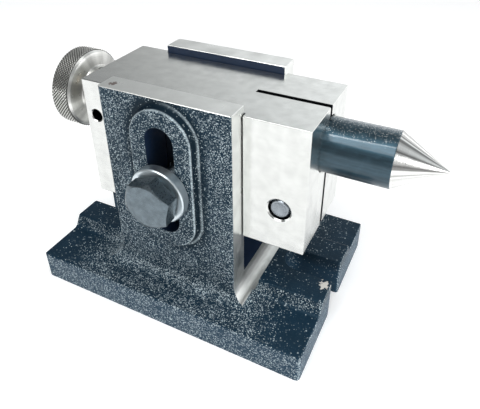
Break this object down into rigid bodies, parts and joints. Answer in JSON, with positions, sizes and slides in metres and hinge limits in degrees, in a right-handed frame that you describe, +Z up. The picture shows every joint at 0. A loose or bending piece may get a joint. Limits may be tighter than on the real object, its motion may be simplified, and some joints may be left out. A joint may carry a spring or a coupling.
{
  "type": "adjustable tailstock",
  "caption": "Height-adjustable tailstock for a rotary table: a clamped steel block in a forked cast base carries a dead centre fed by a knurled knob.",
  "frame": {"origin": "on the base's underside, below the axis of the clamp bolts", "axes": "+X along the spindle towards the centre's point, +Y across the fork, towards the pinch screw's head, +Z up"},
  "size_m": [0.1524, 0.081, 0.093],
  "materials": {
    "cast_paint": "dark blue speckled paint, with bare machined faces",
    "ground_steel": "ground",
    "blued_steel": "blued and polished, with a bright turned cone",
    "screw_steel": "turned",
    "knob_steel": "bright, knurled rim",
    "bronze": "turned bronze",
    "black_screw": "black oxide",
    "oiled_steel": "oiled dark steel",
    "bolt_steel": "satin zinc grey",
    "washer_steel": "satin steel"
  },
  "bodies": {
    "base": {"base_casting": "cast_paint"},
    "block": {"spindle_block": "ground_steel", "feed_thrust_washer": "bronze", "feed_retaining_screw": "black_screw", "centre_key_screw": "black_screw"},
    "centre": {"centre": "blued_steel"},
    "feed": {"feed_screw": "screw_steel", "feed_knob": "knob_steel", "knob_pin": "screw_steel"},
    "pinch": {"pinch_screw": "oiled_steel"},
    "clamp_near_washer": {"clamp_washer_near": "washer_steel"},
    "clamp_near_bolt": {"clamp_bolt_near": "bolt_steel"},
    "clamp_far_washer": {"clamp_washer_far": "washer_steel"},
    "clamp_far_bolt": {"clamp_bolt_far": "bolt_steel"}
  },
  "joints": [
    {"name": "block_height", "type": "slide", "parent": "base", "child": "block", "axis": [0, 0, 1], "range_m": [-0.0135, 0.02]},
    {"name": "knob_turn", "type": "hinge", "parent": "block", "child": "feed", "pos_m": [-0.046, 0, 0.0755], "axis": [1, 0, 0], "range_deg": [-4085, 1445]},
    {"name": "centre_feed", "type": "slide", "parent": "block", "child": "centre", "axis": [1, 0, 0], "range_m": [-0.017, 0.006]},
    {"name": "clamp_near_travel", "type": "slide", "parent": "block", "child": "clamp_near_washer", "axis": [0, -1, 0], "range_m": [0, 0.0015]},
    {"name": "clamp_near_turn", "type": "hinge", "parent": "clamp_near_washer", "child": "clamp_near_bolt", "pos_m": [0, -0.0373, 0.0585], "axis": [0, -1, 0], "range_deg": [0, 362]},
    {"name": "clamp_far_travel", "type": "slide", "parent": "block", "child": "clamp_far_washer", "axis": [0, 1, 0], "range_m": [0, 0.0015]},
    {"name": "clamp_far_turn", "type": "hinge", "parent": "clamp_far_washer", "child": "clamp_far_bolt", "pos_m": [0, 0.0373, 0.0585], "axis": [0, 1, 0], "range_deg": [0, 362]},
    {"name": "pinch_turn", "type": "hinge", "parent": "block", "child": "pinch", "pos_m": [0.04045, 0.0152, 0.0564], "axis": [0, 1, 0], "range_deg": [0, 360]}
  ],
  "couplings": [
    {"joint": "knob_turn", "follows": "centre_feed", "rad_per_m": 4188.8},
    {"joint": "clamp_near_turn", "follows": "clamp_near_travel", "rad_per_m": 4188.8},
    {"joint": "clamp_far_turn", "follows": "clamp_far_travel", "rad_per_m": 4188.8}
  ]
}
